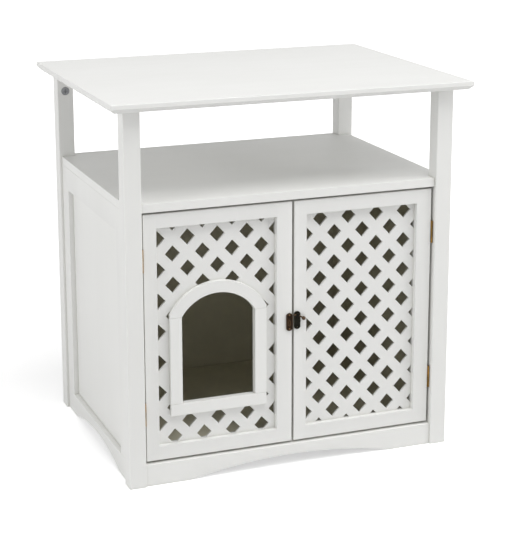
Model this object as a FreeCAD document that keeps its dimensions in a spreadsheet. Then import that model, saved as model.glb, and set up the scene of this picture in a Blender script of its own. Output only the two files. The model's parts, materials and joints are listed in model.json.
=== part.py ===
"""Cat litter box cabinet: a post-and-panel cabinet with an open bay under its top,
two lattice doors, an arched cat entry in the left door and a turning latch between them.

The cabinet stands on the floor. Its front faces -Y, +X is to the right and +Z is up.
The origin is the centre of the bottom of the whole cabinet, overhanging top included.
"""

import FreeCAD, Part
import math
import os
import re
import Sketcher

# Driving dimensions, in millimetres. Each can be changed by itself.
SIZES = {
    # carcass, measured over the posts, and the top's upper face above the floor
    "carcass_width": 600,
    "carcass_depth": 455,
    "total_height": 671,
    "post_side": 30,
    "post_arris": 1,
    "joint_clearance": 0.3,
    # table top
    "top_thickness": 15,
    "top_side_overhang": 26,
    "top_front_overhang": 26,
    "top_back_overhang": 21,
    "top_bevel": 7,
    "top_arris": 1,
    # shelf under the open bay, and the floor board
    "shelf_height": 497,
    "shelf_thickness": 15,
    "shelf_side_inset": 5,
    "shelf_front_inset": 5,
    "shelf_back_inset": 6,
    "floor_thickness": 12,
    "floor_step": 3,
    # arched aprons at the front and back
    "apron_height": 39,
    "apron_thickness": 15,
    "apron_inset": 3.5,
    "apron_foot": 80,
    "apron_rise": 20,
    # side frames and their recessed panels
    "side_inset": 5,
    "side_thickness": 15,
    "side_foot": 52.5,
    "side_rise": 21,
    "side_stile": 40,
    "side_top_rail": 42,
    "field_recess": 9,
    "field_thickness": 6,
    "field_tongue": 6,
    # back panel
    "back_thickness": 5,
    "back_inset": 3,
    # door frames
    "door_gap": 4,
    "door_top_gap": 4,
    "door_bottom_gap": 4,
    "meeting_gap": 4,
    "seam_offset": 2.8,
    "door_inset": 9.5,
    "door_thickness": 18,
    "left_stile": 23.2,
    "right_stile": 28,
    "door_rail": 25.1,
    # lattice boards
    "lattice_thickness": 5,
    "lattice_inset": 10,
    "lattice_tongue": 5,
    "groove_clearance": 0.2,
    "hole_width": 26.8,
    "hole_height": 28.7,
    "pitch_across": 53.3,
    "pitch_up": 54.4,
    "left_pattern_offset": 3.1,
    "right_pattern_offset": 4.1,
    "left_pattern_rise": 7.9,
    "right_pattern_drop": 9.7,
    # arched entry and the four pieces that trim it
    "entry_width": 132.5,
    "entry_sill": 139,
    "entry_springing": 293,
    "entry_crown": 330,
    "entry_offset": 1.9,
    "trim_width": 21.3,
    "trim_proud": 8,
    "trim_lip": 8,
    # hinges
    "hinge_height": 40,
    "hinge_top_distance": 79,
    "hinge_bottom_distance": 85,
    "hinge_leaf": 1.1,
    "hinge_leaf_width": 15,
    "hinge_knuckle": 1.6,
    "hinge_pin": 0.8,
    "hinge_forward": 1,
    "hinge_running_gap": 0.2,
    # latch: the two plates, the pivot and the turning lever
    "plate_height": 32,
    "plate_centre": 263.3,
    "plate_step": 2,
    "plate_width": 11.6,
    "plate_overhang": 0.6,
    "plate_thickness": 1.6,
    "plate_rim": 1.6,
    "plate_relief": 0.8,
    "pivot_rise": 10.4,
    "pivot_radius": 1.5,
    "pivot_cap": 2.9,
    "pivot_cap_thickness": 1.5,
    "lever_hub": 3.2,
    "lever_thickness": 2,
    "lever_bar": 3,
    "lever_seam_gap": 1.4,
    "lever_running_gap": 0.25,
    "knob_radius": 3.5,
    "knob_reach": 11.3,
    "knob_drop": 7.1,
    # cam fasteners that draw the top down onto the posts
    "cam_radius": 7.5,
    "cam_depth": 12.5,
    "cam_drop": 35.5,
    "cam_slot": 1.4,
    "cam_cross": 8,
    "cam_recess": 2,
    "bolt_radius": 3,
    "bolt_in_top": 9,
}

doc = FreeCAD.newDocument("cabinet")
dims = doc.addObject("Spreadsheet::Sheet", "dims")
for row, (alias, size) in enumerate(SIZES.items(), start=1):
    dims.set(f"A{row}", str(size))
    dims.setAlias(f"A{row}", alias)
doc.recompute()

# Places worked out from the driving dimensions, as expressions.
PLACES = {
    "post_face_x": "carcass_width / 2",
    "post_inner_x": "carcass_width / 2 - post_side",
    "front_y": "(top_front_overhang - top_back_overhang - carcass_depth) / 2",
    "back_y": "(top_front_overhang - top_back_overhang + carcass_depth) / 2",
    "post_top": "total_height - top_thickness",
    "shelf_bottom": "shelf_height - shelf_thickness",
    "side_face_x": "carcass_width / 2 - side_inset",
    "side_inner_x": "carcass_width / 2 - side_inset - side_thickness",
    "field_face_x": "carcass_width / 2 - side_inset - field_recess",
    "apron_y": "front_y + apron_inset",
    "apron_back_y": "front_y + apron_inset + apron_thickness",
    "back_rail_y": "back_y - apron_inset - apron_thickness",
    "door_y": "front_y + door_inset",
    "door_back_y": "front_y + door_inset + door_thickness",
    "door_bottom": "apron_height + door_bottom_gap",
    "door_top": "shelf_height - shelf_thickness - door_top_gap",
    "door_x": "post_inner_x - door_gap",
    "left_meeting_x": "seam_offset - meeting_gap / 2",
    "right_meeting_x": "seam_offset + meeting_gap / 2",
    "window_bottom": "door_bottom + door_rail",
    "window_top": "door_top - door_rail",
    "lattice_y": "door_y + lattice_inset",
    "lattice_back_y": "door_y + lattice_inset + lattice_thickness",
    "left_window_near": "left_stile - door_x",
    "left_window_far": "left_meeting_x - right_stile",
    "right_window_near": "right_meeting_x + left_stile",
    "right_window_far": "door_x - right_stile",
    "left_window_centre": "(left_window_near + left_window_far) / 2",
    "right_window_centre": "(right_window_near + right_window_far) / 2",
    "window_middle": "(window_bottom + window_top) / 2",
    "entry_x": "left_window_centre + entry_offset",
    "hinge_x": "post_inner_x - door_gap / 2",
    "hinge_y": "door_y - hinge_forward",
    "plate_y": "door_y - plate_thickness",
    "keeper_x": "left_meeting_x + plate_overhang - plate_width / 2",
    "pivot_x": "right_meeting_x - plate_overhang + plate_width / 2",
    "latch_centre": "plate_centre + plate_step",
    "pivot_z": "latch_centre + pivot_rise",
    "lever_back_y": "door_y - plate_thickness - plate_relief - lever_running_gap",
    "lever_y": "lever_back_y - lever_thickness",
    "cam_z": "post_top - cam_drop",
}


def spelled(text):
    """Spell an expression out in the sheet's own cells, places replaced by their sizes."""

    def swap(found):
        word = found[0]
        if word in PLACES:
            return "(" + spelled(PLACES[word]) + ")"
        return "dims." + word if word in SIZES else word

    return re.sub(r"[a-z_]+", swap, str(text))


def value(text):
    """Return the number that an expression comes to."""
    return float(dims.evalExpression(spelled(text)))


def bind(thing, path, text):
    """Tie one property of a thing to the sheet."""
    thing.setExpression(path, spelled(text))


def move(thing, x=0, y=0, z=0, turn=0):
    """Place a sub-part, turned about the upright axis by whole degrees."""
    thing.Placement = FreeCAD.Placement(
        FreeCAD.Vector(value(x), value(y), value(z)),
        FreeCAD.Rotation(FreeCAD.Vector(0, 0, 1), turn),
    )
    for axis, text in (("x", x), ("y", y), ("z", z)):
        bind(thing, f"Placement.Base.{axis}", text)


# Each plane's role, and whether a pad has to be reversed to grow along the plus axis.
PLANES = {"XY": ("XY_Plane", False), "XZ": ("XZ_Plane", True), "YZ": ("YZ_Plane", False)}
NODES = []


def new_body(label):
    """Start one sub-part."""
    body = doc.addObject("PartDesign::Body", label)
    body.Label = label
    NODES.append(body)
    return body


def new_sketch(body, plane, near):
    """Attach a sketch to one of the body's own origin planes, at a distance along its axis."""
    role, reverse = PLANES[plane]
    sketch = body.newObject("Sketcher::SketchObject", body.Label + "_sketch")
    origin_plane = [f for f in body.Origin.OriginFeatures if f.Role == role]
    sketch.AttachmentSupport = (origin_plane[0], "")
    sketch.MapMode = "FlatFace"
    bind(sketch, "AttachmentOffset.Base.z", f"-({near})" if reverse else near)
    return sketch


def arc_between(start, end, radius, side):
    """Return an arc of under half a turn from start to end, bulging away from its centre."""
    chord = end - start
    height = math.sqrt(max(radius**2 - (chord.Length / 2) ** 2, 0))
    across = FreeCAD.Vector(-chord.y, chord.x, 0).normalize()
    centre = start + chord / 2 + across * height * side
    first, last = (start, end) if side > 0 else (end, start)
    angles = [math.atan2(p.y - centre.y, p.x - centre.x) for p in (first, last)]
    circle = Part.Circle(centre, FreeCAD.Vector(0, 0, 1), radius)
    return Part.ArcOfCircle(circle, angles[0], angles[1])


def draw(sketch, outline):
    """Draw a closed outline of corners (across, up) and arcs (across, up, radius, side).

    Each corner is tied to the sheet. An arc leads from the corner before it, and its
    side is 1 where it turns left on the way and -1 where it turns right.
    """
    corners = [FreeCAD.Vector(value(c[0]), value(c[1]), 0) for c in outline]
    count = len(outline)
    ends = []
    ties = []
    base = sketch.GeometryCount
    for i in range(count):
        here, there = corners[i], corners[(i + 1) % count]
        leg = outline[(i + 1) % count]
        if len(leg) == 4:
            radius, side = value(leg[2]), leg[3]
            sketch.addGeometry(arc_between(here, there, radius, side), False)
            ends.append((1, 2) if side > 0 else (2, 1))
            ties.append(("Radius", (base + i,), radius, leg[2]))
        else:
            sketch.addGeometry(Part.LineSegment(here, there), False)
            ends.append((1, 2))
    for i in range(count):
        after = (i + 1) % count
        joint = (base + i, ends[i][1], base + after, ends[after][0])
        sketch.addConstraint(Sketcher.Constraint("Coincident", *joint))
        spot = (-1, 1, base + i, ends[i][0])
        ties.append(("DistanceX", spot, corners[i].x, outline[i][0]))
        ties.append(("DistanceY", spot, corners[i].y, outline[i][1]))
    for kind, where, size, text in ties:
        index = sketch.addConstraint(Sketcher.Constraint(kind, *where, size))
        sketch.renameConstraint(index, f"tie_{index}")
        bind(sketch, f"Constraints.tie_{index}", text)


def draw_circle(sketch, across, up, radius):
    """Draw a circle whose centre and radius are tied to the sheet."""
    centre = FreeCAD.Vector(value(across), value(up), 0)
    circle = Part.Circle(centre, FreeCAD.Vector(0, 0, 1), value(radius))
    geo = sketch.addGeometry(circle, False)
    ties = (
        (Sketcher.Constraint("DistanceX", -1, 1, geo, 3, centre.x), across),
        (Sketcher.Constraint("DistanceY", -1, 1, geo, 3, centre.y), up),
        (Sketcher.Constraint("Radius", geo, value(radius)), radius),
    )
    for constraint, text in ties:
        index = sketch.addConstraint(constraint)
        sketch.renameConstraint(index, f"tie_{index}")
        bind(sketch, f"Constraints.tie_{index}", text)


def grow(body, plane, near, far):
    """Start a pad between two distances along the plane's axis; return its sketch and itself."""
    sketch = new_sketch(body, plane, near)
    pad = body.newObject("PartDesign::Pad", body.Label + "_pad")
    pad.Profile = sketch
    pad.Reversed = PLANES[plane][1]
    bind(pad, "Length", f"({far}) - ({near})")
    return sketch, pad


def cut(body, plane, near, far):
    """Start a pocket between two distances along the plane's axis; return its sketch and itself."""
    sketch = new_sketch(body, plane, near)
    pocket = body.newObject("PartDesign::Pocket", body.Label + "_pocket")
    pocket.Profile = sketch
    pocket.Reversed = not PLANES[plane][1]
    bind(pocket, "Length", f"({far}) - ({near})")
    return sketch, pocket


def pad_outline(body, plane, outline, near, far):
    """Pad a closed outline."""
    sketch, pad = grow(body, plane, near, far)
    draw(sketch, outline)
    return pad


def pocket_outline(body, plane, outline, near, far):
    """Pocket a closed outline."""
    sketch, pocket = cut(body, plane, near, far)
    draw(sketch, outline)
    return pocket


def rectangle(left, right, low, high):
    """Return the outline of a rectangle."""
    return [(left, low), (right, low), (right, high), (left, high)]


def board(label, x, y, z):
    """Make a plain rectangular board from its near and far faces along each axis."""
    box = doc.addObject("Part::Box", label)
    box.Label = label
    for side, (near, far) in (("Length", x), ("Width", y), ("Height", z)):
        bind(box, side, f"({far}) - ({near})")
    move(box, x[0], y[0], z[0])
    NODES.append(box)
    return box


def ease(body, feature, kind, size, chosen):
    """Fillet or chamfer the edges of a feature that a test chooses."""
    doc.recompute()
    names = [f"Edge{i}" for i, e in enumerate(feature.Shape.Edges, 1) if chosen(e)]
    dress = body.newObject(f"PartDesign::{kind}", body.Label + "_eased")
    dress.Base = (feature, names)
    bind(dress, "Radius" if kind == "Fillet" else "Size", size)
    return dress


def upright(edge):
    """Tell whether an edge stands upright."""
    run = edge.Vertexes[-1].Point - edge.Vertexes[0].Point
    return math.hypot(run.x, run.y) < 1e-6


def level_at(height):
    """Return a test for edges that lie level at a height."""
    return lambda edge: all(abs(v.Z - value(height)) < 1e-6 for v in edge.Vertexes)


# Signs that put a piece on the left or on the right of the cabinet.
SIDES = {"left": -1, "right": 1}


def span(sign, inner, outer):
    """Return the low and high ends of a stretch that lies on one side."""
    return (f"-({outer})", f"-({inner})") if sign < 0 else (inner, outer)


def make_top():
    """Table top: a board with a deep bevel under its edge."""
    body = new_body("table_top")
    outline = rectangle(
        "-(post_face_x + top_side_overhang)",
        "post_face_x + top_side_overhang",
        "front_y - top_front_overhang",
        "back_y + top_back_overhang",
    )
    pad = pad_outline(body, "XY", outline, "post_top", "total_height")
    under = ease(body, pad, "Chamfer", "top_bevel", level_at("post_top"))
    ease(body, under, "Chamfer", "top_arris", level_at("total_height"))
    sketch, _ = cut(body, "XY", "post_top", "post_top + bolt_in_top")
    for x in POST_X.values():
        for y, offset in POST_Y.values():
            draw_circle(sketch, x, f"{y} - ({offset})", "bolt_radius + joint_clearance")
    return body


# Post centres. The bolt stands off the post's centre, towards the face that the cam is in.
BOLT_OFFSET = "post_side / 2 - cam_depth / 2"
POST_X = {
    "left": "-(post_face_x - post_side / 2)",
    "right": "post_face_x - post_side / 2",
}
POST_Y = {
    "front": ("front_y + post_side / 2", f"-({BOLT_OFFSET})"),
    "back": ("back_y - post_side / 2", BOLT_OFFSET),
}


def make_posts():
    """Four square posts, each bored for the cam and bolt that hold the top."""
    half = "post_side / 2"
    for depth, (y, _) in POST_Y.items():
        for hand, x in POST_X.items():
            body = new_body(f"post_{depth}_{hand}")
            outline = rectangle(f"-{half}", half, f"-{half}", half)
            pad = pad_outline(body, "XY", outline, "0", "post_top")
            ease(body, pad, "Chamfer", "post_arris", upright)
            sketch, _ = cut(body, "XZ", f"-{half}", f"cam_depth + joint_clearance - {half}")
            draw_circle(sketch, "0", "cam_z", "cam_radius + joint_clearance")
            sketch, _ = cut(body, "XY", "cam_z", "post_top")
            draw_circle(sketch, "0", f"-({BOLT_OFFSET})", "bolt_radius + joint_clearance")
            move(body, x, y, 0, turn=180 if depth == "front" else 0)


def make_cams():
    """Cams with a cross recess, and the bolts that they pull on."""
    half = "post_side / 2"
    for depth, (y, _) in POST_Y.items():
        for hand, x in POST_X.items():
            turn = 180 if depth == "front" else 0
            cam = new_body(f"cam_{depth}_{hand}")
            sketch, _ = grow(cam, "XZ", f"-{half}", f"cam_depth - {half}")
            draw_circle(sketch, "0", "0", "cam_radius")
            reach, wide = "cam_cross / 2", "cam_slot / 2"
            for across, up in ((reach, wide), (wide, reach)):
                slot = rectangle(f"-{across}", across, f"-{up}", up)
                pocket_outline(cam, "XZ", slot, f"-{half}", f"cam_recess - {half}")
            move(cam, x, y, "cam_z", turn)
            bolt = new_body(f"cam_bolt_{depth}_{hand}")
            low = "cam_z + cam_radius + joint_clearance"
            sketch, _ = grow(bolt, "XY", low, "post_top + bolt_in_top")
            draw_circle(sketch, "0", f"-({BOLT_OFFSET})", "bolt_radius")
            move(bolt, x, y, 0, turn)


def notched(label, side, front, back, low, high):
    """Make a level board that is notched round the posts wherever it reaches past them."""
    body = new_body(label)
    pad_outline(body, "XY", rectangle(f"-({side})", side, front, back), low, high)
    gap = "joint_clearance"
    sketch, _ = cut(body, "XY", low, high)
    for sign in SIDES.values():
        across = span(sign, f"post_inner_x - {gap}", f"post_face_x + {gap}")
        draw(sketch, rectangle(*across, f"front_y - {gap}", f"front_y + post_side + {gap}"))
        draw(sketch, rectangle(*across, f"back_y - post_side - {gap}", f"back_y + {gap}"))
    return body


def make_shelf_and_floor():
    """The shelf under the open bay, and the floor board between the aprons."""
    notched(
        "shelf",
        "post_face_x - shelf_side_inset",
        "front_y + shelf_front_inset",
        "back_y - shelf_back_inset",
        "shelf_bottom",
        "shelf_height",
    )
    top = "apron_height + floor_step"
    notched("floor_board", "side_inner_x", "apron_back_y", "back_rail_y", f"{top} - floor_thickness", top)


def arched_rail(half, foot, rise, height):
    """Return the outline of a rail whose lower edge rises in a shallow arch between two feet."""
    reach = f"({half} - {foot})"
    radius = f"({reach} ^ 2 + {rise} ^ 2) / (2 * {rise})"
    return [
        (f"-({half})", "0"),
        (f"-{reach}", "0"),
        (reach, "0", radius, -1),
        (half, "0"),
        (half, height),
        (f"-({half})", height),
    ]


def make_aprons():
    """Arched aprons between the posts at the front and at the back."""
    for label, y in (("front_apron", "apron_y"), ("back_rail", "back_rail_y")):
        body = new_body(label)
        outline = arched_rail("post_inner_x", "apron_foot", "apron_rise", "apron_height")
        pad_outline(body, "XZ", outline, "0", "apron_thickness")
        move(body, 0, y, 0)


def make_back_panel():
    """Thin panel that closes the back, standing on the back rail."""
    far = "back_y - back_inset"
    board(
        "back_panel",
        ("-post_inner_x", "post_inner_x"),
        (f"{far} - back_thickness", far),
        ("apron_height", "shelf_bottom"),
    )


def make_side(hand, sign):
    """One side: two stiles and two rails round a recessed panel, between the posts."""
    front, back = "front_y + post_side", "back_y - post_side"
    middle = "(front_y + back_y) / 2"
    rail = new_body(f"{hand}_arched_rail")
    outline = arched_rail("(carcass_depth / 2 - post_side)", "side_foot", "side_rise", "apron_height")
    low, high = span(sign, "side_inner_x", "side_face_x")
    pad_outline(rail, "YZ", outline, low, high)
    move(rail, 0, middle, 0)

    # The frame is rebated from inside, and the panel's tongue lies in the rebate.
    step = f"{sign} * field_face_x"
    face, inner = f"{sign} * side_face_x", f"{sign} * side_inner_x"
    for place, edge, inward in (("front", front, 1), ("back", back, -1)):
        lip = f"{edge} + {inward} * side_stile"
        seat = f"{lip} - {inward} * field_tongue"
        outline = [(face, edge), (face, lip), (step, lip), (step, seat), (inner, seat), (inner, edge)]
        stile = new_body(f"{hand}_{place}_stile")
        pad_outline(stile, "XY", outline, "apron_height", "shelf_bottom")

    lip = "shelf_bottom - side_top_rail"
    seat = f"{lip} + field_tongue"
    outline = [
        (face, "shelf_bottom"),
        (face, lip),
        (step, lip),
        (step, seat),
        (inner, seat),
        (inner, "shelf_bottom"),
    ]
    top = new_body(f"{hand}_top_rail")
    pad_outline(top, "XZ", outline, f"{front} + side_stile", f"{back} - side_stile")

    tongue = "side_stile - field_tongue + joint_clearance"
    board(
        f"{hand}_field",
        span(sign, "field_face_x - field_thickness", "field_face_x"),
        (f"{front} + {tongue}", f"{back} - ({tongue})"),
        ("apron_height", f"{seat} - joint_clearance"),
    )


# The lattice's groove in the door frames.
GROOVE_NEAR = "lattice_y - groove_clearance / 2"
GROOVE_FAR = "lattice_back_y + groove_clearance / 2"


def grooved(outer, inner, inward):
    """Return a door member's section as (across, depth) from its outer to its grooved edge."""
    bottom = f"{inner} - {inward} * (lattice_tongue + joint_clearance)"
    return [
        (outer, "door_y"),
        (inner, "door_y"),
        (inner, GROOVE_NEAR),
        (bottom, GROOVE_NEAR),
        (bottom, GROOVE_FAR),
        (inner, GROOVE_FAR),
        (inner, "door_back_y"),
        (outer, "door_back_y"),
    ]


def make_door_frame(hand, left, window_left, window_right, right):
    """Door frame: two stiles the full height and two rails between them."""
    names = ("hinge_stile", "latch_stile") if hand == "left" else ("latch_stile", "hinge_stile")
    for name, outer, inner, inward in ((names[0], left, window_left, 1), (names[1], right, window_right, -1)):
        stile = new_body(f"{hand}_door_{name}")
        pad_outline(stile, "XY", grooved(outer, inner, inward), "door_bottom", "door_top")
    ends = (("bottom", "door_bottom", "window_bottom", 1), ("top", "door_top", "window_top", -1))
    for name, outer, inner, inward in ends:
        rail = new_body(f"{hand}_door_{name}_rail")
        section = [(y, z) for z, y in grooved(outer, inner, inward)]
        pad_outline(rail, "YZ", section, window_left, window_right)


def diamond(across, up):
    """Return the outline of one hole of the lattice."""
    return [
        (f"{across} - hole_width / 2", up),
        (across, f"{up} - hole_height / 2"),
        (f"{across} + hole_width / 2", up),
        (across, f"{up} + hole_height / 2"),
    ]


def punch(body, across, columns, step_across, up, rows, step_up):
    """Cut a block of holes: columns and rows of one diamond, from its lower left hole."""
    sketch, pocket = cut(body, "XZ", "lattice_y - 1", "lattice_back_y + 1")
    draw(sketch, diamond(across, up))
    pattern = body.newObject("PartDesign::LinearPattern", body.Label + "_holes")
    pattern.Originals = [pocket]
    pattern.Direction = (sketch, ["H_Axis"])
    pattern.Mode = "Spacing"
    pattern.Occurrences = columns
    bind(pattern, "Offset", step_across)
    pattern.Direction2 = (sketch, ["V_Axis"])
    pattern.Mode2 = "Spacing"
    pattern.Occurrences2 = rows
    # Every row keeps the one step: the first of these numbers would otherwise be nought.
    pattern.Spacings2 = [-1.0] * (rows - 1)
    bind(pattern, "Offset2", step_up)
    body.Tip = pattern


def lattice_board(hand, left, right):
    """Return a lattice board before its holes: the window and a tongue all round it."""
    body = new_body(f"{hand}_door_lattice")
    tongue = "lattice_tongue"
    outline = rectangle(
        f"{left} - {tongue}",
        f"{right} + {tongue}",
        f"window_bottom - {tongue}",
        f"window_top + {tongue}",
    )
    pad_outline(body, "XZ", outline, "lattice_y", "lattice_back_y")
    return body


def close_rim(body, left, right):
    """Fill the tongue round the window again, so that no hole breaks the board's edge."""
    sketch, _ = grow(body, "XZ", "lattice_y", "lattice_back_y")
    for margin in ("lattice_tongue", "0"):
        outline = rectangle(
            f"{left} - {margin}",
            f"{right} + {margin}",
            f"window_bottom - {margin}",
            f"window_top + {margin}",
        )
        draw(sketch, outline)


def make_right_lattice():
    """Right board: rows of five and of four holes, each between the other's columns."""
    window = ("right_window_near", "right_window_far")
    body = lattice_board("right", *window)
    x = "right_window_centre + right_pattern_offset"
    z = "window_middle - right_pattern_drop"
    punch(body, f"{x} - 2 * pitch_across", 5, "pitch_across", f"{z} - 3 * pitch_up", 7, "pitch_up")
    punch(body, f"{x} - 1.5 * pitch_across", 4, "pitch_across", f"{z} - 3.5 * pitch_up", 8, "pitch_up")
    close_rim(body, *window)


def make_left_lattice():
    """Left board: the same pattern turned over, left out where the entry and its trim are."""
    window = ("left_window_near", "left_window_far")
    body = lattice_board("left", *window)
    x = "left_window_centre + left_pattern_offset"
    z = "window_middle + left_pattern_rise"
    edge, four = f"{x} - 2 * pitch_across", f"{x} - 1.5 * pitch_across"
    # above the entry, the rows of five and the rows of four
    punch(body, edge, 5, "pitch_across", f"{z} + 2 * pitch_up", 2, "pitch_up")
    punch(body, four, 4, "pitch_across", f"{z} + 1.5 * pitch_up", 3, "pitch_up")
    # beside the entry, holes cut in half by the stiles, and two pairs at the trim's corners
    punch(body, edge, 2, "4 * pitch_across", f"{z} - 3 * pitch_up", 5, "pitch_up")
    punch(body, four, 2, "3 * pitch_across", f"{z} - 2.5 * pitch_up", 2, "3 * pitch_up")
    # under the entry
    punch(body, f"{x} - pitch_across", 3, "pitch_across", f"{z} - 3 * pitch_up", 1, "pitch_up")
    punch(body, four, 4, "pitch_across", f"{z} - 3.5 * pitch_up", 1, "pitch_up")
    close_rim(body, *window)
    opening = "trim_lip + joint_clearance"
    pocket_outline(body, "XZ", entry_outline(opening), "lattice_y", "lattice_back_y")


# The entry's arch: its crown stands this much above the springing.
ARCH_RISE = "(entry_crown - entry_springing)"
ARCH_RADIUS = f"(((entry_width / 2) ^ 2 + {ARCH_RISE} ^ 2) / (2 * {ARCH_RISE}))"
ARCH_CENTRE = f"(entry_crown - {ARCH_RADIUS})"


def shoulder(margin):
    """Return the height at which the arch, moved out by a margin, meets its straight sides."""
    half = f"(entry_width / 2 + {margin})"
    return f"({ARCH_CENTRE} + sqrt(({ARCH_RADIUS} + {margin}) ^ 2 - {half} ^ 2))"


def entry_outline(margin):
    """Return the outline of the whole entry, moved out by a margin on every side."""
    margin = f"({margin})"
    left = f"entry_x - entry_width / 2 - {margin}"
    right = f"entry_x + entry_width / 2 + {margin}"
    return [
        (left, f"entry_sill - {margin}"),
        (right, f"entry_sill - {margin}"),
        (right, shoulder(margin)),
        (left, shoulder(margin), f"{ARCH_RADIUS} + {margin}", 1),
    ]


def arch_ring(margin):
    """Return the outline of the arched head of the trim, a margin wide."""
    margin = f"({margin})"
    left, right = "entry_x - entry_width / 2", "entry_x + entry_width / 2"
    return [
        (f"{right} + {margin}", "entry_springing"),
        (f"{right} + {margin}", shoulder(margin)),
        (f"{left} - {margin}", shoulder(margin), f"{ARCH_RADIUS} + {margin}", 1),
        (f"{left} - {margin}", "entry_springing"),
        (left, "entry_springing"),
        (right, "entry_springing", ARCH_RADIUS, -1),
    ]


def make_entry_trim():
    """Trim of the entry: a flange on the lattice's face, and a lip that lines the cut-out."""
    near, seat, far = "lattice_y - trim_proud", "lattice_y", "lattice_back_y"
    head = new_body("entry_head")
    pad_outline(head, "XZ", arch_ring("trim_width"), near, seat)
    pad_outline(head, "XZ", arch_ring("trim_lip"), seat, far)

    for hand, sign in SIDES.items():
        edge = f"entry_x + {sign} * entry_width / 2"
        lip, flange = f"{edge} + {sign} * trim_lip", f"{edge} + {sign} * trim_width"
        section = [
            (edge, near),
            (flange, near),
            (flange, seat),
            (lip, seat),
            (lip, far),
            (edge, far),
        ]
        jamb = new_body(f"entry_{hand}_jamb")
        pad_outline(jamb, "XY", section, "entry_sill", "entry_springing")

    # The sill's flange runs under both jambs, and so does its lip.
    sill = new_body("entry_sill_piece")
    half = "entry_width / 2 + trim_width"
    low = "entry_sill - trim_width"
    flange = rectangle(f"entry_x - ({half})", f"entry_x + {half}", low, "entry_sill")
    pad_outline(sill, "XZ", flange, near, seat)
    half = "entry_width / 2 + trim_lip"
    lip = rectangle(f"entry_x - ({half})", f"entry_x + {half}", "entry_sill - trim_lip", "entry_sill")
    pad_outline(sill, "XZ", lip, seat, far)


def make_leaf(label, sign, near, far, low, level):
    """Hinge leaf in its own frame, the pin's axis at the origin: a plate with one knuckle."""
    half = "hinge_height / 2"
    body = new_body(label)
    knuckle = ("0", half) if not low else (f"-{half}", "0")
    knuckle = (f"{knuckle[0]} + hinge_running_gap / 2", f"{knuckle[1]} - hinge_running_gap / 2")
    sketch, _ = grow(body, "XY", *knuckle)
    draw_circle(sketch, "0", "0", "hinge_knuckle")
    across = (f"{sign} * ({near})", f"{sign} * ({far})")
    pad_outline(body, "XY", rectangle(*across, "0", "hinge_knuckle + hinge_running_gap"), *knuckle)
    depth = ("hinge_knuckle + hinge_running_gap", "hinge_forward + hinge_leaf_width")
    pad_outline(body, "XY", rectangle(*across, *depth), f"-{half}", half)
    sketch, _ = cut(body, "XY", f"-{half}", half)
    draw_circle(sketch, "0", "0", "hinge_pin + hinge_running_gap / 2")
    move(body, f"{sign} * hinge_x", "hinge_y", level)


def make_hinges():
    """Two butt hinges to each door, their knuckles in the gap beside the post."""
    levels = {
        "upper": "door_top - hinge_top_distance",
        "lower": "door_bottom + hinge_bottom_distance",
    }
    for hand, sign in SIDES.items():
        for level_name, level in levels.items():
            name = f"{hand}_{level_name}_hinge"
            edge = "door_gap / 2"
            make_leaf(f"{name}_post_leaf", sign, f"{edge} - hinge_leaf", edge, True, level)
            make_leaf(f"{name}_door_leaf", sign, f"hinge_leaf - {edge}", f"-{edge}", False, level)
            pin = new_body(f"{name}_pin")
            sketch, _ = grow(pin, "XY", "-hinge_height / 2", "hinge_height / 2")
            draw_circle(sketch, "0", "0", "hinge_pin")
            move(pin, f"{sign} * hinge_x", "hinge_y", level)


def rounded_plate(across, up, inset):
    """Return a latch plate's outline about its middle: upright, with round ends."""
    half = f"(plate_width / 2 - {inset})"
    radius = f"(1.08 * {half})"
    rise = f"({radius} - sqrt({radius} ^ 2 - {half} ^ 2))"
    left, right = f"{across} - {half}", f"{across} + {half}"
    low = f"{up} - plate_height / 2 + {inset} + {rise}"
    high = f"{up} + plate_height / 2 - {inset} - {rise}"
    return [(left, low), (right, low, radius, 1), (right, high), (left, high, radius, 1)]


def make_plate(label, across, up):
    """Latch plate with a raised rim round a sunk field."""
    body = new_body(label)
    raised = "plate_y - plate_relief"
    pad_outline(body, "XZ", rounded_plate(across, up, "0"), raised, "door_y")
    pocket_outline(body, "XZ", rounded_plate(across, up, "plate_rim"), raised, "plate_y")
    return body


def make_ball(lever):
    """Turned knob at the end of the lever's arm: a ball of five bands round its upright axis."""
    sketch = new_sketch(lever, "XZ", "0")
    bind(sketch, "AttachmentOffset.Base.x", "knob_reach")
    bind(sketch, "AttachmentOffset.Base.y", "-knob_drop")
    ball = "knob_radius"
    outline = [("0", f"-{ball}")]
    outline += [(f"{ball} * cos({turn})", f"{ball} * sin({turn})") for turn in (-54, -18, 18, 54)]
    outline += [("0", ball)]
    draw(sketch, outline)
    turned = lever.newObject("PartDesign::Revolution", "latch_lever_ball")
    turned.Profile = sketch
    turned.ReferenceAxis = (sketch, ["V_Axis"])
    turned.Angle = 360


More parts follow.
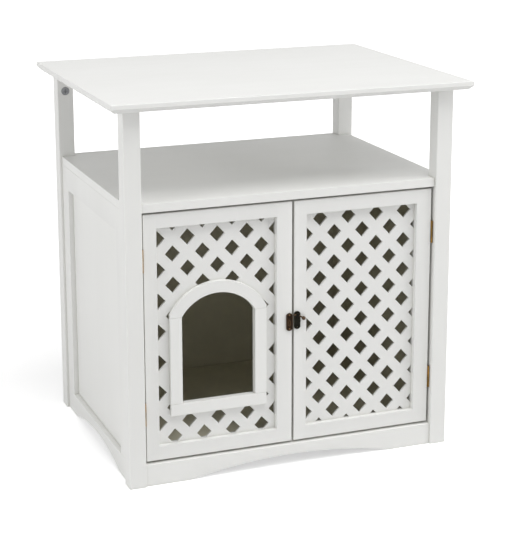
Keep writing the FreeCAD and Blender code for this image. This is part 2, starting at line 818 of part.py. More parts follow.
def make_latch():
    """Latch: a plate on each door, and a lever with a ball knob that turns on the right one."""
    make_plate("latch_keeper_plate", "keeper_x", "plate_centre")
    plate = make_plate("latch_plate", "pivot_x", "latch_centre")
    sketch, _ = grow(plate, "XZ", "lever_y - lever_running_gap", "plate_y")
    draw_circle(sketch, "pivot_x", "pivot_z", "pivot_radius")

    cap = new_body("latch_pivot_cap")
    far = "lever_y - lever_running_gap"
    sketch, _ = grow(cap, "XZ", f"{far} - pivot_cap_thickness", far)
    draw_circle(sketch, "pivot_x", "pivot_z", "pivot_cap")

    lever = new_body("latch_lever")
    sketch, _ = grow(lever, "XZ", "0", "lever_thickness")
    draw_circle(sketch, "0", "0", "lever_hub")
    reach = "(pivot_x - left_meeting_x - lever_seam_gap)"
    bar = "lever_bar / 2"
    pad_outline(lever, "XZ", rectangle(f"-{reach}", "0", f"-{bar}", bar), "0", "lever_thickness")
    arm = [
        ("0", bar),
        ("0", f"-{bar}"),
        ("knob_reach", f"-knob_drop - {bar}"),
        ("knob_reach", f"-knob_drop + {bar}"),
    ]
    pad_outline(lever, "XZ", arm, "0", "lever_thickness")
    make_ball(lever)
    sketch, _ = cut(lever, "XZ", "0", "lever_thickness")
    draw_circle(sketch, "0", "0", "pivot_radius + lever_running_gap")
    move(lever, "pivot_x", "lever_y", "pivot_z")


def check():
    """Stop if any object failed, or any sub-part isn't one whole valid solid."""
    doc.recompute()
    failed = [o.Name for o in doc.Objects if {"Invalid", "Error"} & set(o.State)]
    labels = [node.Label for node in NODES]
    failed += [n for n in labels if labels.count(n) > 1]
    for node in NODES:
        shape = node.Shape
        if shape.isNull() or not shape.isValid() or len(shape.Solids) != 1:
            failed.append(node.Label)
    if failed:
        raise RuntimeError("not sound: " + ", ".join(sorted(set(failed))))


def export():
    """Write each sub-part to its own file."""
    os.makedirs("parts", exist_ok=True)
    for node in NODES:
        node.Shape.exportStep(f"parts/{node.Label}.step")


make_top()
make_posts()
make_cams()
make_shelf_and_floor()
make_aprons()
make_back_panel()
for hand, sign in SIDES.items():
    make_side(hand, sign)
make_door_frame("left", "-door_x", "left_window_near", "left_window_far", "left_meeting_x")
make_door_frame("right", "right_meeting_x", "right_window_near", "right_window_far", "door_x")
make_left_lattice()
make_right_lattice()
make_entry_trim()
make_hinges()
make_latch()
check()
export()
print(f"{len(NODES)} sub-parts written")
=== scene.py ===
"""Looks of the cat litter box cabinet: painted wood, brass hinges and a dark bronze latch.

Every size is in metres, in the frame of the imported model: +Z up, the front faces -Y.
"""

import json
import math

import bmesh
import bpy
from mathutils import Matrix, Vector


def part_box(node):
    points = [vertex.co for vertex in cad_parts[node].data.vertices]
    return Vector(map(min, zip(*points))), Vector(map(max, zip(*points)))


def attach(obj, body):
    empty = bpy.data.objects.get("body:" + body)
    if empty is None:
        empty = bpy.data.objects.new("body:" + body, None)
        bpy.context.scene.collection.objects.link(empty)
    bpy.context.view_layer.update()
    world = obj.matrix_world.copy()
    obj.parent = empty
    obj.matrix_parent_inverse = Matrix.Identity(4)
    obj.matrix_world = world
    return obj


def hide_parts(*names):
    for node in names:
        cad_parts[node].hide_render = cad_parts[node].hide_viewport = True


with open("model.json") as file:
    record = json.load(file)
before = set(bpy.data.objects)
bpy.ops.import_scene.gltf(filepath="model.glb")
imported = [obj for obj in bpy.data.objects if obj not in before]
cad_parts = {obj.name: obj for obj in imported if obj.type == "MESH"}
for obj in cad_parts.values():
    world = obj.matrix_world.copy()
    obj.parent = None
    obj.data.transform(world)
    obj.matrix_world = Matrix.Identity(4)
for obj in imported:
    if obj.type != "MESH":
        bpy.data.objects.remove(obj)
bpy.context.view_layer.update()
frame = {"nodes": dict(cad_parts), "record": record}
NODES = frame["nodes"]
MM = 0.001

# ---------------------------------------------------------------- photograph's camera

PHOTO_WIDTH, PHOTO_HEIGHT = 510, 540
FOCAL_PIXELS = 1612.7
CAMERA_PLACE = Vector((-1.0156, -2.6895, 1.1248))
CAMERA_YAW, CAMERA_PITCH, CAMERA_ROLL = 20.97, -13.54, -0.125
CAMERA_SHIFT = -0.13
SENSOR = 36.0


def make_camera():
    """Camera at the photograph's place. Yaw is from +Y towards +X, and pitch is upwards."""
    yaw, pitch, roll = (math.radians(a) for a in (CAMERA_YAW, CAMERA_PITCH, CAMERA_ROLL))
    ahead = Vector(
        (
            math.sin(yaw) * math.cos(pitch),
            math.cos(yaw) * math.cos(pitch),
            math.sin(pitch),
        )
    )
    level = Vector((math.cos(yaw), -math.sin(yaw), 0))
    up = level.cross(ahead)
    right = level * math.cos(roll) + up * math.sin(roll)
    up = up * math.cos(roll) - level * math.sin(roll)
    turn = Matrix((right, up, -ahead)).transposed().to_4x4()
    data = bpy.data.cameras.new("camera")
    data.sensor_width = SENSOR
    data.lens = FOCAL_PIXELS * SENSOR / max(PHOTO_WIDTH, PHOTO_HEIGHT)
    data.shift_y = CAMERA_SHIFT
    camera = bpy.data.objects.new("camera", data)
    camera.matrix_world = Matrix.Translation(CAMERA_PLACE) @ turn
    bpy.context.scene.collection.objects.link(camera)
    bpy.context.scene.camera = camera


# ---------------------------------------------------------------- node helpers


NOISE_ROUGHNESS = 0.55
# Most of the noise lies between these numbers, which are spread to the whole range.
NOISE_LOW, NOISE_HIGH = 0.3, 0.7
# Share of the edge colour that shows on the sharpest edges: rubbed brighter metal on old metal, a
# painted highlight on paint.
RUB_AND_HIGHLIGHT_MOST = 0.8


class Shader:
    """A material's node tree, built one node at a time."""

    def __init__(self, name):
        self.material = bpy.data.materials.new(name)
        self.material.use_nodes = True
        self.tree = self.material.node_tree
        self.tree.nodes.clear()
        self.output = self.add("ShaderNodeOutputMaterial")

    def add(self, kind, inputs=None, **settings):
        """Add a node, set its properties, and link or set its inputs by name."""
        node = self.tree.nodes.new(kind)
        for key, setting in settings.items():
            setattr(node, key, setting)
        for key, source in (inputs or {}).items():
            if isinstance(source, bpy.types.NodeSocket):
                self.tree.links.new(source, node.inputs[key])
            else:
                node.inputs[key].default_value = source
        return node

    def math(self, operation, first, second=0.0):
        """Return the result of one arithmetic node."""
        return self.add("ShaderNodeMath", {0: first, 1: second}, operation=operation).outputs[0]

    def place(self, scale=(1, 1, 1)):
        """Return the point in the object's own frame, stretched by a scale."""
        point = self.add("ShaderNodeTexCoord").outputs["Object"]
        return self.add("ShaderNodeMapping", {"Vector": point, "Scale": scale}).outputs[0]

    def noise(self, vector, scale, detail=3.0, low=0.0, high=1.0):
        """Return smooth noise, spread between a low and a high number."""
        inputs = {"Vector": vector, "Scale": scale, "Detail": detail, "Roughness": NOISE_ROUGHNESS}
        value = self.add("ShaderNodeTexNoise", inputs).outputs["Fac"]
        return self.spread(value, (NOISE_LOW, NOISE_HIGH), (low, high))

    def spread(self, value, source, target):
        """Return a value carried over from one range to another, held within its ends."""
        inputs = {"Value": value, "From Min": source[0], "From Max": source[1]}
        inputs.update({"To Min": target[0], "To Max": target[1]})
        return self.add("ShaderNodeMapRange", inputs).outputs["Result"]

    def edges(self, source):
        """Return how strongly an edge takes its edge colour, from a range of the surface's
        pointiness: real rubbing on metal, a painted highlight on paint.
        """
        ridge = self.add("ShaderNodeNewGeometry").outputs["Pointiness"]
        return self.spread(ridge, source, (0.0, RUB_AND_HIGHLIGHT_MOST))

    def mix(self, factor, first, second):
        """Return a blend of two colours."""
        node = self.add("ShaderNodeMix", data_type="RGBA")
        for index, source in ((0, factor), (6, first), (7, second)):
            if isinstance(source, bpy.types.NodeSocket):
                self.tree.links.new(source, node.inputs[index])
            else:
                node.inputs[index].default_value = source
        return node.outputs[2]

    def bump(self, height, distance, strength=1.0):
        """Return a surface normal raised by a height."""
        inputs = {"Height": height, "Distance": distance, "Strength": strength}
        return self.add("ShaderNodeBump", inputs).outputs["Normal"]

    def surface(self, **inputs):
        """Add the main shader and send it to the output."""
        named = {key.replace("_", " "): source for key, source in inputs.items()}
        shader = self.add("ShaderNodeBsdfPrincipled", named)
        self.tree.links.new(shader.outputs[0], self.output.inputs["Surface"])
        return self.material


def rgb(red, green, blue):
    """Return a colour, given as it looks on a screen from 0 to 255."""
    linear = [((c / 255 + 0.055) / 1.055) ** 2.4 for c in (red, green, blue)]
    return (*linear, 1.0)


# ---------------------------------------------------------------- materials

WHITE = rgb(232, 232, 230)
WHITE_THIN = rgb(226, 226, 223)
# Lighter white along the paint's edges: a painted highlight.
WHITE_EDGE_HIGHLIGHT = rgb(240, 240, 237)
# Painted shade in creases and between parts, found by ambient occlusion within a short reach.
CREASE_SHADE = rgb(212, 212, 206)
CREASE_SHADE_REACH = 6 * MM
CREASE_SHADE_SAMPLES = 4
# Painted shade of the closed inside: a darker, warm white.
INSIDE_SHADE = rgb(224, 220, 200)
INSIDE_SHADE_DEEP = rgb(214, 210, 190)
BRASS = rgb(170, 126, 62)
BRASS_OLD = rgb(104, 84, 44)
BRASS_DARK = rgb(66, 58, 34)
BRONZE = rgb(112, 86, 60)
BRONZE_LIGHT = rgb(140, 108, 76)
BRONZE_MID = rgb(66, 47, 30)
BRONZE_OLD = rgb(30, 18, 10)
BRONZE_DARK = rgb(12, 7, 4)
BRONZE_OLIVE = rgb(70, 66, 52)
BLACK_OLIVE = rgb(20, 19, 14)
BLACK = rgb(6, 6, 5)
ZINC = rgb(150, 152, 154)
ZINC_DARK = rgb(112, 113, 115)
STEEL = rgb(200, 200, 198)
STEEL_DARK = rgb(170, 170, 168)

# The closed inside of the cabinet: its walls lie on the faces of this box, and get a painted shade.
INSIDE_LOW = Vector((-0.2805, -0.1970, 0.0388))
INSIDE_HIGH = Vector((0.2805, 0.2225, 0.4825))


# Scales of the paint's clouds, brush strokes, fine peel and sheen, in features per metre.
CLOUD_SCALE, STROKE_SCALE, PEEL_SCALE, SHEEN_SCALE = 7.0, 60.0, 1400.0, 40.0
CLOUD_SHARE = 0.5
STROKE_SHARE, PEEL_SHARE = 0.7, 0.3
# Pointiness range over which the paint's edges take their painted highlight.
PAINT_HIGHLIGHT_EDGES = (0.51, 0.60)
PAINT_ROUGHNESS = (0.46, 0.58)
PAINT_GLOSS = 0.42
PAINT_RELIEF, PAINT_RELIEF_STRENGTH = 0.06 * MM, 0.6


def painted_wood(name, stretch):
    """White satin paint with faint brush marks that run along a board.

    Faces that look into the closed inside get a darker, warm painted shade.
    """
    shader = Shader(name)
    plain = shader.place()
    along = shader.place(stretch)
    cloud = shader.noise(plain, CLOUD_SCALE, 4.0)
    strokes = shader.noise(along, STROKE_SCALE, 3.0)
    peel = shader.noise(plain, PEEL_SCALE, 2.0)
    white = shader.mix(shader.math("MULTIPLY", cloud, CLOUD_SHARE), WHITE, WHITE_THIN)
    # Edges get a lighter painted highlight, and creases a darker painted shade.
    white = shader.mix(shader.edges(PAINT_HIGHLIGHT_EDGES), white, WHITE_EDGE_HIGHLIGHT)
    # Painted shade: where ambient occlusion finds a crease, the white darkens towards a grey.
    reach = {"Distance": CREASE_SHADE_REACH}
    openness = shader.add("ShaderNodeAmbientOcclusion", reach, samples=CREASE_SHADE_SAMPLES).outputs["AO"]
    white = shader.mix(openness, CREASE_SHADE, white)

    axes = shader.add("ShaderNodeSeparateXYZ", {0: plain}).outputs
    inside = None
    for axis, low, high in zip(axes, INSIDE_LOW, INSIDE_HIGH):
        for test, limit in (("GREATER_THAN", low), ("LESS_THAN", high)):
            met = shader.math(test, axis, limit)
            inside = met if inside is None else shader.math("MULTIPLY", inside, met)
    # Painted shade on the inside faces, in cloudy patches of two tones.
    inside_shade = shader.mix(cloud, INSIDE_SHADE, INSIDE_SHADE_DEEP)
    strokes = shader.math("MULTIPLY", strokes, STROKE_SHARE)
    relief = shader.math("ADD", strokes, shader.math("MULTIPLY", peel, PEEL_SHARE))
    return shader.surface(
        Base_Color=shader.mix(inside, white, inside_shade),
        Roughness=shader.noise(along, SHEEN_SCALE, 3.0, *PAINT_ROUGHNESS),
        Specular_IOR_Level=PAINT_GLOSS,
        Normal=shader.bump(relief, PAINT_RELIEF, PAINT_RELIEF_STRENGTH),
    )


# Scales of old metal's patina, worn patches, sheen and pits, in features per metre.
PATINA_SCALE, PATCH_SCALE, OLD_SHEEN_SCALE, PIT_SCALE = 260.0, 110.0, 400.0, 700.0
METAL_EDGES = (0.52, 0.62)
OLD_ROUGHNESS = (0.3, 0.48)
PIT_DEPTH, PIT_STRENGTH = 0.05 * MM, 0.6


def rubbed_metal(name, worn_colour, dark_colours, wear, stretch=(1, 1, 1), metallic=0.9):
    """Old metal: dark in its hollows and patches, rubbed brighter on its raised edges."""
    shader = Shader(name)
    place = shader.place(stretch)
    dark = shader.mix(shader.noise(place, PATINA_SCALE, 4.0), *dark_colours)
    patches = shader.noise(place, PATCH_SCALE, 2.0, 0.0, wear)
    worn = shader.math("MAXIMUM", shader.edges(METAL_EDGES), patches)
    return shader.surface(
        Base_Color=shader.mix(worn, dark, worn_colour),
        Metallic=metallic,
        Roughness=shader.noise(place, OLD_SHEEN_SCALE, 2.0, *OLD_ROUGHNESS),
        Normal=shader.bump(shader.noise(place, PIT_SCALE), PIT_DEPTH, PIT_STRENGTH),
    )


# Scales of plated metal's clouds, sheen and grain, in features per metre.
CAST_CLOUD_SCALE, CAST_SHEEN_SCALE, CAST_GRAIN_SCALE = 300.0, 500.0, 1200.0
CAST_ROUGHNESS = (0.36, 0.52)
CAST_GRAIN_DEPTH, CAST_GRAIN_STRENGTH = 0.04 * MM, 0.5


def cast_metal(name, light, dark):
    """Dull die-cast or plated metal."""
    shader = Shader(name)
    place = shader.place()
    grain = shader.noise(place, CAST_GRAIN_SCALE)
    return shader.surface(
        Base_Color=shader.mix(shader.noise(place, CAST_CLOUD_SCALE, 3.0), light, dark),
        Metallic=1.0,
        Roughness=shader.noise(place, CAST_SHEEN_SCALE, 2.0, *CAST_ROUGHNESS),
        Normal=shader.bump(grain, CAST_GRAIN_DEPTH, CAST_GRAIN_STRENGTH),
    )


# Brush marks run along each board: the scale is small along it and large across it.
DRAWN_OUT = 0.06
GRAIN = {
    "upright": (1.0, 1.0, DRAWN_OUT),
    "across": (DRAWN_OUT, 1.0, 1.0),
    "deep": (1.0, DRAWN_OUT, 1.0),
}
PAINT = {run: painted_wood(f"paint_{run}", stretch) for run, stretch in GRAIN.items()}
# Each old metal: its worn colour, its two dark ones, and how much of it is worn in patches.
METAL = {
    "hinge_brass": rubbed_metal("hinge_brass", BRASS, (BRASS_DARK, BRASS_OLD), 0.7, (1, 1, 0.5)),
    "latch_bronze": rubbed_metal("latch_bronze", BRONZE, (BRONZE_DARK, BRONZE_OLD), 0.1),
    "latch_rubbed": rubbed_metal("latch_rubbed", BRONZE_LIGHT, (BRONZE_OLD, BRONZE_MID), 0.5),
    "lever_bronze": rubbed_metal(
        "lever_bronze", BRONZE_LIGHT, (BRONZE_DARK, BRONZE_MID), 0.3, metallic=0.6
    ),
    "latch_black": rubbed_metal("latch_black", BRONZE_OLIVE, (BLACK, BLACK_OLIVE), 0.08),
    "cam_metal": cast_metal("cam_metal", ZINC, ZINC_DARK),
    "bolt_steel": cast_metal("bolt_steel", STEEL, STEEL_DARK),
}


# ---------------------------------------------------------------- carried-over nodes


WELD = 0.005 * MM
FLAT = math.radians(0.5)
SHARP = math.radians(35)
SOFT_SEGMENTS = 2


def run_of(node):
    """Return the way that a board's length runs."""
    low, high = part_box(node)
    size = high - low
    longest = max(range(3), key=lambda axis: size[axis])
    return ("across", "deep", "upright")[longest]


def soften(thing, width):
    """Round a piece's edges a little, as paint and sanding do."""
    normals = thing.data.attributes.get("custom_normal")
    if normals:
        thing.data.attributes.remove(normals)
    weld = thing.modifiers.new("weld", "WELD")
    weld.merge_threshold = WELD
    flat = thing.modifiers.new("flat", "DECIMATE")
    flat.decimate_type = "DISSOLVE"
    flat.angle_limit = FLAT
    bevel = thing.modifiers.new("soften", "BEVEL")
    bevel.width = width
    bevel.segments = SOFT_SEGMENTS
    bevel.limit_method = "ANGLE"
    bevel.angle_limit = SHARP
    bevel.harden_normals = True


# Width of the rounding in millimetres, by the first of these words that is in a node's name.
SOFTENING = {
    "lattice": 0.25,
    "hinge_": 0.12,
    "latch_": 0.2,
    "cam": 0.2,
    "entry": 0.8,
    "door": 0.5,
    "side": 0.5,
    "": 0.7,
}


def softening(name):
    """Return how widely the edges of a piece are rounded."""
    if name.endswith("_stile"):
        return SOFTENING["door"] * MM
    return next(width for word, width in SOFTENING.items() if word in name) * MM


def dress_nodes():
    """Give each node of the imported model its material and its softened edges."""
    slots = {row["node"]: row["material_slot"] for row in frame["record"]["subparts"]}
    for name, thing in NODES.items():
        slot = slots[name]
        thing.data.materials.clear()
        thing.data.materials.append(METAL[slot] if slot in METAL else PAINT[run_of(name)])
        soften(thing, softening(name))


# ---------------------------------------------------------------- frames without seams


def welded_copy(node):
    """Return a copy of a node with its split corners joined."""
    mesh = bmesh.new()
    mesh.from_mesh(NODES[node].data)
    bmesh.ops.remove_doubles(mesh, verts=mesh.verts, dist=WELD)
    data = bpy.data.meshes.new(node + "_copy")
    mesh.to_mesh(data)
    mesh.free()
    copy = bpy.data.objects.new(node + "_copy", data)
    bpy.context.scene.collection.objects.link(copy)
    return copy


def unite(name, nodes, body):
    """Join boards that lie flush into one painted frame, because the paint hides their seams."""
    copies = [welded_copy(node) for node in nodes]
    for other in copies[1:]:
        joint = copies[0].modifiers.new(other.name, "BOOLEAN")
        joint.operation = "UNION"
        joint.solver = "EXACT"
        joint.object = other
    depsgraph = bpy.context.evaluated_depsgraph_get()
    data = bpy.data.meshes.new_from_object(copies[0].evaluated_get(depsgraph))
    for copy in copies:
        bpy.data.objects.remove(copy)
    piece = bpy.data.objects.new(name, data)
    bpy.context.scene.collection.objects.link(piece)
    data.materials.clear()
    data.materials.append(PAINT["upright"])
    soften(piece, softening(name))
    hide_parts(*nodes)
    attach(piece, body)


DOOR_BOARDS = ("hinge_stile", "latch_stile", "top_rail", "bottom_rail")
SIDE_BOARDS = ("front_stile", "back_stile", "top_rail")


def make_frames():
    """Both door frames and both side frames, each in one piece."""
    for hand in ("left", "right"):
        door = [f"{hand}_door_{part}" for part in DOOR_BOARDS]
        unite(f"{hand}_door_frame", door, f"{hand}_door")
        side = [f"{hand}_{part}" for part in SIDE_BOARDS]
        unite(f"{hand}_side_frame", side, "cabinet")


# ---------------------------------------------------------------- latch


def new_piece(name, mesh, body, metal):
    """Finish a piece of the latch: its mesh becomes an object that rides on a body."""
    bmesh.ops.recalc_face_normals(mesh, faces=mesh.faces)
    data = bpy.data.meshes.new(name)
    mesh.to_mesh(data)
    mesh.free()
    for polygon in data.polygons:
        polygon.use_smooth = True
    data.materials.append(METAL[metal])
    piece = bpy.data.objects.new(name, data)
    bpy.context.scene.collection.objects.link(piece)
    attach(piece, body)
    return piece


def join_rings(mesh, rings):
    """Skin a row of rings, and close both of its ends."""
    for near, far in zip(rings, rings[1:]):
        for i in range(len(near)):
            after = (i + 1) % len(near)
            mesh.faces.new((near[i], near[after], far[after], far[i]))
    mesh.faces.new(rings[0])
    mesh.faces.new(rings[-1])


TURNED_SIDES = 32


def turned(mesh, centre, axis, profile):
    """Add a turned form: rings of (distance along the axis, radius) about a centre."""
    swing = axis.normalized().to_track_quat("Z", "Y")
    rings = []
    for reach, radius in profile:
        ring = []
        for i in range(TURNED_SIDES):
            angle = math.tau * i / TURNED_SIDES
            spot = Vector((radius * math.cos(angle), radius * math.sin(angle), reach))
            ring.append(mesh.verts.new(centre + swing @ spot))
        rings.append(ring)
    join_rings(mesh, rings)


DOME_STEPS = 8
DOME_END = math.radians(88)
DOME_SKIRT, DOME_TUCK = 0.2, 0.97


def dome(radius, height, base):
    """Return a profile that rises from a rim to a rounded crown, with a short skirt below it."""
    profile = [(base - height * DOME_SKIRT, radius * DOME_TUCK), (base, radius)]
    for i in range(1, DOME_STEPS + 1):
        angle = DOME_END * i / DOME_STEPS
        profile.append((base + height * math.sin(angle), radius * math.cos(angle)))
    return profile


def slab(mesh, outline, front, back):
    """Add a slab with a flat outline of (across, up) between two depths."""
    near = [mesh.verts.new((x, front, z)) for x, z in outline]
    far = [mesh.verts.new((x, back, z)) for x, z in outline]
    join_rings(mesh, [near, far])


OUTWARD = Vector((0, -1, 0))
SCREW_RADIUS = 1.45 * MM
SCREW_HEIGHT = 0.5 * MM
# Half of the slot's width, and the share of the head's height that lies below the slot.
SCREW_SLOT = 0.22 * MM
SLOT_FLOOR = 0.4
SCREW_STEPS = 12


def add_screw(mesh, centre, turn):
    """Add a slotted screw head that faces the front, its slot turned by an angle."""
    face = centre.y - SCREW_HEIGHT
    floor = SCREW_HEIGHT * SLOT_FLOOR
    turned(mesh, centre, OUTWARD, [(0, SCREW_RADIUS), (floor, SCREW_RADIUS)])
    spread = math.asin(SCREW_SLOT / SCREW_RADIUS)
    for side in (0, math.pi):
        outline = []
        for i in range(SCREW_STEPS + 1):
            angle = side + spread + (math.pi - 2 * spread) * i / SCREW_STEPS
            across, up = SCREW_RADIUS * math.cos(angle), SCREW_RADIUS * math.sin(angle)
            outline.append(
                (
                    centre.x + across * math.cos(turn) - up * math.sin(turn),
                    centre.z + across * math.sin(turn) + up * math.cos(turn),
                )
            )
        slab(mesh, outline, face, centre.y - floor)


SCROLL_TURNS = 1.6
SCROLL_POINTS = 40
SCROLL_SIDES = 8
# How far the scroll has wound inwards at its end, as a share of its size.
SCROLL_WIND = 0.72
SCROLL_WIRE = 0.42 * MM
# The wire's thickness at both ends, and what it gains half-way, as shares.
WIRE_ENDS, WIRE_SWELL = 0.55, 0.45


def add_scroll(mesh, centre, width, height, hand):
    """Add a raised scroll: a round wire that winds inwards in a narrow oval."""
    rings = []
    for i in range(SCROLL_POINTS + 1):
        share = i / SCROLL_POINTS
        angle = math.pi / 2 + hand * math.tau * SCROLL_TURNS * share
        reach = 1 - SCROLL_WIND * share
        spot = centre + Vector((width * reach * math.cos(angle), 0, height * reach * math.sin(angle)))
        ahead = Vector((-width * math.sin(angle), 0, height * math.cos(angle))).normalized() * hand
        outer = OUTWARD.cross(ahead)
        wire = SCROLL_WIRE * (WIRE_ENDS + WIRE_SWELL * math.sin(math.pi * share))
        ring = []
        for j in range(SCROLL_SIDES):
            turn = math.tau * j / SCROLL_SIDES
            offset = outer * wire * math.cos(turn) + OUTWARD * wire * math.sin(turn)
            ring.append(mesh.verts.new(spot + offset))
        rings.append(ring)
    join_rings(mesh, rings)


PLATE_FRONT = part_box("latch_keeper_plate")[0].y
PLATE_RIM = 1.6 * MM
FIELD_SINK = 0.8 * MM
SCROLL_FILL = 0.78
SCROLL_HALF_HEIGHT = 7.2 * MM
SCROLL_DROP = 1.5 * MM
SCREW_INSET = 3.4 * MM
SLOT_TURNS = (0.6, 2.1)
BOSS_RADIUS = 1.9 * MM
BOSS_HEIGHT = 0.7 * MM
BOSS_BASE = 0.4 * MM
BOSS_INSET = 1.0 * MM
BOSS_DROP = 2.0 * MM


def make_plate_relief(node, body, hand, metal):
    """Scroll relief and screws on a latch plate: the lever's plate has a boss at its edge."""
    low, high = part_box(node)
    middle = (low + high) / 2
    front = PLATE_FRONT + FIELD_SINK
    half_width = ((high.x - low.x) / 2 - PLATE_RIM) * SCROLL_FILL
    centre = Vector((middle.x, front, middle.z - SCROLL_DROP))
    scroll = bmesh.new()
    add_scroll(scroll, centre, half_width, SCROLL_HALF_HEIGHT, hand)
    ends = [low.z + SCREW_INSET]
    if node == "latch_plate":
        boss = Vector((high.x - BOSS_INSET, front, middle.z - BOSS_DROP))
        turned(scroll, boss, OUTWARD, dome(BOSS_RADIUS, BOSS_HEIGHT, BOSS_BASE))
    else:
        ends.append(high.z - SCREW_INSET)
    new_piece(f"{node}_scroll", scroll, body, metal)
    screws = bmesh.new()
    for up, turn in zip(ends, SLOT_TURNS):
        add_screw(screws, Vector((middle.x, front, up)), turn)
    new_piece(f"{node}_screws", screws, body, metal)


KNOB_RADIUS = 3.45 * MM
KNOB_STEPS = 16
KNOB_END = 86
LEVER_HALF = 1.5 * MM
LEVER_DEPTH = 1.0 * MM
LEVER_HUB = 2.5 * MM
LEVER_GAP = 0.25 * MM
LEVER_SIDES = 16
# How far each arm's width has narrowed at its end: the short arm, and the one with the ball.
SHORT_TAPER, LONG_TAPER = 0.8, 0.62
# Shares of an arm's length where it has a ring, and where its end starts to close.
ARM_RINGS = (0.0, 0.3, 0.6, 0.9, 0.97, 1.0)
ARM_CLOSES = 0.9
CLOSED_SHARE = 0.9
# The hub's rings: shares of the lever's half depth, and of the hub's radius.
HUB_RINGS = ((0.0, 1.0), (1.6, 1.0), (2.0, 0.85))
COLLAR_SHARE = 0.5
COLLAR_SEAT = 1.02
COLLAR_RINGS = ((-0.4 * MM, 0.8), (0.0, 1.0), (0.5 * MM, 1.0))
CAP_EDGE = 0.4 * MM
CAP_BASE = 0.3 * MM


def add_arm(mesh, start, end, taper):
    """Add a bar with an oval section that narrows to a rounded end."""
    along = (end - start).normalized()
    side = OUTWARD.cross(along).normalized()
    length = (end - start).length
    rings = []
    for share in ARM_RINGS:
        width = 1 + (taper - 1) * share
        if share > ARM_CLOSES:
            width *= math.sqrt(1 - ((share - ARM_CLOSES) / (1 - ARM_CLOSES)) ** 2 * CLOSED_SHARE)
        ring = []
        for j in range(LEVER_SIDES):
            turn = math.tau * j / LEVER_SIDES
            offset = side * LEVER_HALF * math.cos(turn) + OUTWARD * LEVER_DEPTH * math.sin(turn)
            ring.append(mesh.verts.new(start + along * length * share + offset * width))
        rings.append(ring)
    join_rings(mesh, rings)


def make_lever():
    """Lever with rounded arms, its hub and the ball at its end, and the domed cap over it."""
    cap_low, cap_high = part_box("latch_pivot_cap")
    low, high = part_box("latch_lever")
    pivot = (cap_low + cap_high) / 2
    depth = cap_high.y + LEVER_GAP + LEVER_DEPTH
    hub = Vector((pivot.x, depth, pivot.z))
    ball = Vector((high.x - KNOB_RADIUS, depth - LEVER_DEPTH, low.z + KNOB_RADIUS))
    mesh = bmesh.new()
    rings = [(reach * LEVER_DEPTH, LEVER_HUB * share) for reach, share in HUB_RINGS]
    turned(mesh, hub - OUTWARD * LEVER_DEPTH, OUTWARD, rings)
    add_arm(mesh, hub, Vector((low.x, depth, pivot.z)), SHORT_TAPER)
    add_arm(mesh, hub, ball, LONG_TAPER)
    outward = (ball - hub).normalized()
    profile = []
    for i in range(KNOB_STEPS + 1):
        angle = math.radians(-KNOB_END + 2 * KNOB_END * i / KNOB_STEPS)
        profile.append((KNOB_RADIUS * math.sin(angle), KNOB_RADIUS * math.cos(angle)))
    turned(mesh, ball, outward, profile)
    collar = KNOB_RADIUS * COLLAR_SHARE
    rings = [(reach, collar * share) for reach, share in COLLAR_RINGS]
    turned(mesh, ball - outward * KNOB_RADIUS * COLLAR_SEAT, outward, rings)
    lever = new_piece("lever_arms", mesh, "lever", "lever_bronze")
    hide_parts("latch_lever")

    mesh = bmesh.new()
    radius = (cap_high.x - cap_low.x) / 2 + CAP_EDGE
    rings = dome(radius, cap_high.y - cap_low.y, CAP_BASE)
    turned(mesh, Vector((pivot.x, cap_high.y, pivot.z)), OUTWARD, rings)
    cap = new_piece("domed_cap", mesh, "right_door", "latch_black")
    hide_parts("latch_pivot_cap")


def make_latch_detail():
    """Everything on the latch that is finer than its solids."""
    NODES["latch_plate"].data.materials[0] = METAL["latch_black"]
    make_plate_relief("latch_keeper_plate", "left_door", 1, "latch_rubbed")
    make_plate_relief("latch_plate", "right_door", -1, "latch_black")
    make_lever()


# ---------------------------------------------------------------- stage


def is_seen(shader):
    """Return 1 for rays that see the backdrop itself, or see it in metal or glass."""
    path = shader.add("ShaderNodeLightPath").outputs
    seen = shader.math("MAXIMUM", path["Is Camera Ray"], path["Is Glossy Ray"])
    return shader.math("MAXIMUM", seen, path["Is Transmission Ray"])


FLOOR_SIZE = 60.0
FLOOR_GRAIN_SCALE = 30.0
FLOOR_PALE, FLOOR_DULL = (0.80, 0.80, 0.80, 1), (0.78, 0.78, 0.78, 1)
# The floor's own white near the cabinet, and the distances between which it rises to full white.
FLOOR_GLOW = 0.5
GLOW_NEAR, GLOW_FAR = 0.7, 2.4
WORLD_LEVEL = 0.37
FULL_WHITE = (1, 1, 1, 1)


def make_floor():
    """Pale floor that looks white, and keeps a faint shadow under the cabinet."""
    shader = Shader("floor")
    place = shader.place()
    tint = shader.mix(shader.noise(place, FLOOR_GRAIN_SCALE, 3.0), FLOOR_PALE, FLOOR_DULL)
    matt = shader.add("ShaderNodeBsdfDiffuse", {"Color": tint}).outputs[0]
    # Away from the lamps the floor's own white takes over from their light.
    reach = shader.add("ShaderNodeVectorMath", {0: place}, operation="LENGTH").outputs["Value"]
    level = shader.spread(reach, (GLOW_NEAR, GLOW_FAR), (FLOOR_GLOW, 1.0))
    glow = shader.math("MULTIPLY", is_seen(shader), level)
    lit = shader.add("ShaderNodeEmission", {"Color": FULL_WHITE, "Strength": glow}).outputs[0]
    total = shader.add("ShaderNodeAddShader", {0: matt, 1: lit}).outputs[0]
    shader.tree.links.new(total, shader.output.inputs["Surface"])
    mesh = bpy.data.meshes.new("floor")
    half = FLOOR_SIZE / 2
    corners = [(-half, -half, 0), (half, -half, 0), (half, half, 0), (-half, half, 0)]
    mesh.from_pydata(corners, [], [(0, 1, 2, 3)])
    mesh.materials.append(shader.material)
    floor = bpy.data.objects.new("floor", mesh)
    bpy.context.scene.collection.objects.link(floor)


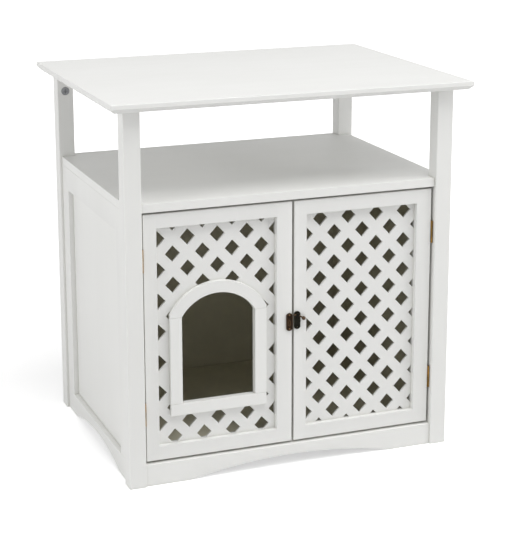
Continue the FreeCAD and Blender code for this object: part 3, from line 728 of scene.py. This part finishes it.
def make_world():
    """Even white surroundings: full white where they are seen, dimmer as light."""
    world = bpy.data.worlds.new("world")
    bpy.context.scene.world = world
    world.use_nodes = True
    nodes, links = world.node_tree.nodes, world.node_tree.links
    nodes.clear()
    path = nodes.new("ShaderNodeLightPath").outputs
    seen = nodes.new("ShaderNodeMath")
    seen.operation = "MAXIMUM"
    links.new(path["Is Camera Ray"], seen.inputs[0])
    links.new(path["Is Glossy Ray"], seen.inputs[1])
    through = nodes.new("ShaderNodeMath")
    through.operation = "MAXIMUM"
    links.new(seen.outputs[0], through.inputs[0])
    links.new(path["Is Transmission Ray"], through.inputs[1])
    level = nodes.new("ShaderNodeMapRange")
    links.new(through.outputs[0], level.inputs["Value"])
    level.inputs["To Min"].default_value = WORLD_LEVEL
    level.inputs["To Max"].default_value = 1.0
    light = nodes.new("ShaderNodeBackground")
    light.inputs["Color"].default_value = FULL_WHITE
    links.new(level.outputs["Result"], light.inputs["Strength"])
    output = nodes.new("ShaderNodeOutputWorld")
    links.new(light.outputs[0], output.inputs["Surface"])


# Soft lamps: place, point aimed at, width and power in watts.
LAMPS = {
    "right_softbox": ((3.0, -1.5, 1.5), (0, 0, 0.35), 2.0, 40.0),
    "left_softbox": ((-3.0, -0.6, 1.4), (0, 0, 0.35), 2.0, 31.0),
    "high_softbox": ((0.2, -1.4, 3.5), (0, 0, 0.45), 2.0, 62.0),
}


def make_lamps():
    """Large soft lamps on both sides and high in front."""
    for name, (place, aim, width, power) in LAMPS.items():
        data = bpy.data.lights.new(name, "AREA")
        data.size = width
        data.energy = power
        lamp = bpy.data.objects.new(name, data)
        lamp.location = place
        lamp.rotation_mode = "QUATERNION"
        lamp.rotation_quaternion = (Vector(aim) - Vector(place)).to_track_quat("-Z", "Y")
        bpy.context.scene.collection.objects.link(lamp)


# ---------------------------------------------------------------- the scene

bpy.context.scene.view_settings.view_transform = "Standard"
make_camera()
make_world()
make_lamps()
make_floor()
dress_nodes()
make_frames()
make_latch_detail()
